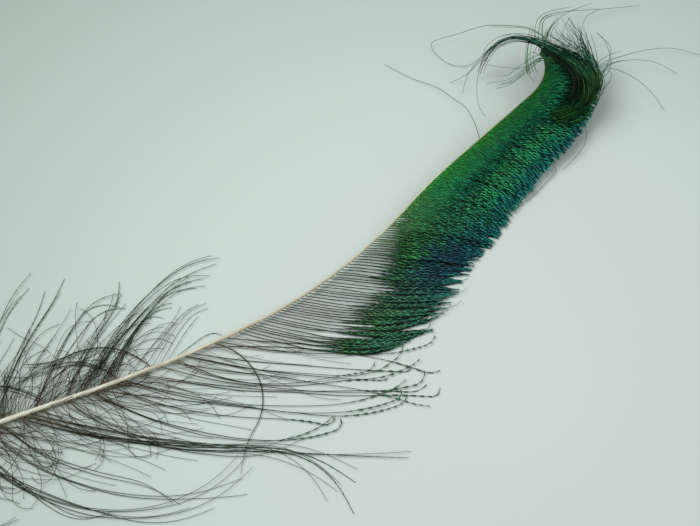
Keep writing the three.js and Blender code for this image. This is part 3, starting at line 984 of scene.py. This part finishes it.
def shaft_material():
    """Pale horn at the quill, tan along the middle and green-brown at the tip, finely lined."""
    n = Nodes("shaft")
    along = n.attribute("along")
    colour = n.ramp(along, [
        (0.0, srgb(214, 206, 186)), (0.2, srgb(228, 226, 214)), (0.42, srgb(214, 208, 190)),
        (0.6, srgb(200, 192, 162)), (0.78, srgb(216, 212, 172)), (0.86, srgb(186, 184, 136)),
        (0.92, srgb(110, 104, 62)), (1.0, srgb(60, 62, 36))])
    streaks = n.ramp(n.noise(60, 5, (1, 18, 18)), [
        (0.35, srgb(205, 200, 190)), (0.65, srgb(255, 255, 255))])
    n.link(n.mix(1.0, colour, streaks, "MULTIPLY"), n.shader.inputs["Base Color"])
    bump = n.node("ShaderNodeBump")
    bump.inputs["Strength"].default_value = 0.25
    bump.inputs["Distance"].default_value = 0.0002
    n.link(n.noise(80, 4, (1, 20, 20)), bump.inputs["Height"])
    n.link(bump.outputs["Normal"], n.shader.inputs["Normal"])
    n.shader.inputs["Roughness"].default_value = 0.35
    n.shader.inputs["Subsurface Weight"].default_value = 0.1
    return n.material


# the floor's colour holds a painted pool of light, brightest at this place
LIT_FLOOR_CENTRE = (10, -60, 0)
LIGHT_FALLOFF = 800           # painted falloff of light, from the brightest place to where the floor has its outer tone


def floor_material():
    """Pale paper with a painted pool of light: a little darker away from its brightest place."""
    n = Nodes("floor")
    place = n.node("ShaderNodeTexCoord").outputs["Object"]
    away = n.node("ShaderNodeVectorMath", operation="DISTANCE")
    n.link(place, away.inputs[0])
    away.inputs[1].default_value = tuple(value * MM for value in LIT_FLOOR_CENTRE)
    painted_falloff = n.range(away.outputs["Value"], 0.0, LIGHT_FALLOFF * MM)
    n.link(n.ramp(painted_falloff, [
        (0.0, srgb(200, 207, 205)), (0.2, srgb(191, 202, 198)), (0.5, srgb(146, 160, 154)),
        (0.7, srgb(135, 148, 143)), (1.0, srgb(136, 148, 143))]), n.shader.inputs["Base Color"])
    n.shader.inputs["Roughness"].default_value = 0.8
    n.shader.inputs["Specular IOR Level"].default_value = 0.2
    return n.material


# ------ camera, floor and light

VIEW_TURN = 33             # degrees from the picture's right to the feather's length, on the floor
VIEW_HEIGHT = 62           # degrees above the floor
VIEW_DISTANCE = 564
VIEW_AIM = (-25.1, 35.6, 0)
LENS = 58
SENSOR = 36
FLOOR_HALF = 3.0           # metres
WORLD_COLOUR = (0.9, 0.95, 0.94, 1)
WORLD_STRENGTH = 0.5
# each lamp's name, place in metres, size, power and colour
LAMPS = [
    ("key", (-0.45, 0.6, 1.15), 1.0, 13.9, (1.0, 1.0, 0.98)),
    ("fill", (0.9, -0.6, 1.1), 1.2, 5, (0.97, 1.0, 1.0)),
]


def make_camera():
    data = bpy.data.cameras.new("camera")
    data.lens = LENS
    data.sensor_width = SENSOR
    data.sensor_fit = "HORIZONTAL"
    data.clip_start = 0.01
    camera = bpy.data.objects.new("camera", data)
    turn, height = math.radians(VIEW_TURN), math.radians(VIEW_HEIGHT)
    level = math.cos(height)
    away = Vector((-math.sin(turn) * level, -math.cos(turn) * level, math.sin(height)))
    camera.location = (Vector(VIEW_AIM) + away * VIEW_DISTANCE) * MM
    camera.rotation_euler = (-away).to_track_quat("-Z", "Y").to_euler()
    bpy.context.scene.collection.objects.link(camera)
    bpy.context.scene.camera = camera


def make_floor(material):
    mesh = bpy.data.meshes.new("floor")
    corners = [(x * FLOOR_HALF, y * FLOOR_HALF, 0) for x, y in ((-1, -1), (1, -1), (1, 1), (-1, 1))]
    mesh.from_pydata(corners, [], [(0, 1, 2, 3)])
    mesh.materials.append(material)
    floor = bpy.data.objects.new("floor", mesh)
    bpy.context.scene.collection.objects.link(floor)


def area_light(name, place, size, power, colour):
    """A square lamp, aimed at the middle of the floor."""
    data = bpy.data.lights.new(name, "AREA")
    data.size = size
    data.energy = power
    data.color = colour
    light = bpy.data.objects.new(name, data)
    light.location = place
    light.rotation_euler = (-Vector(place)).to_track_quat("-Z", "Y").to_euler()
    bpy.context.scene.collection.objects.link(light)


def make_light():
    world = bpy.data.worlds.new("studio")
    world.use_nodes = True
    background = world.node_tree.nodes["Background"]
    background.inputs["Color"].default_value = WORLD_COLOUR
    background.inputs["Strength"].default_value = WORLD_STRENGTH
    bpy.context.scene.world = world
    for lamp in LAMPS:
        area_light(*lamp)


bpy.context.scene.view_settings.view_transform = "Standard"
make_camera()
make_floor(floor_material())
make_light()
barbs = barb_material()
make_shaft(shaft_material())
make_vane(barbs)
make_loose(barbs)
make_down(strand_material("down", [
    (0.0, srgb(104, 92, 70)), (0.3, srgb(62, 54, 42)), (1.0, srgb(38, 44, 32))]))
make_tip(strand_material("tip_strands", [
    (0.0, srgb(14, 44, 30)), (0.14, srgb(58, 100, 40)), (0.3, srgb(34, 100, 58)),
    (0.5, srgb(22, 92, 70)), (1.0, srgb(34, 62, 52))]))
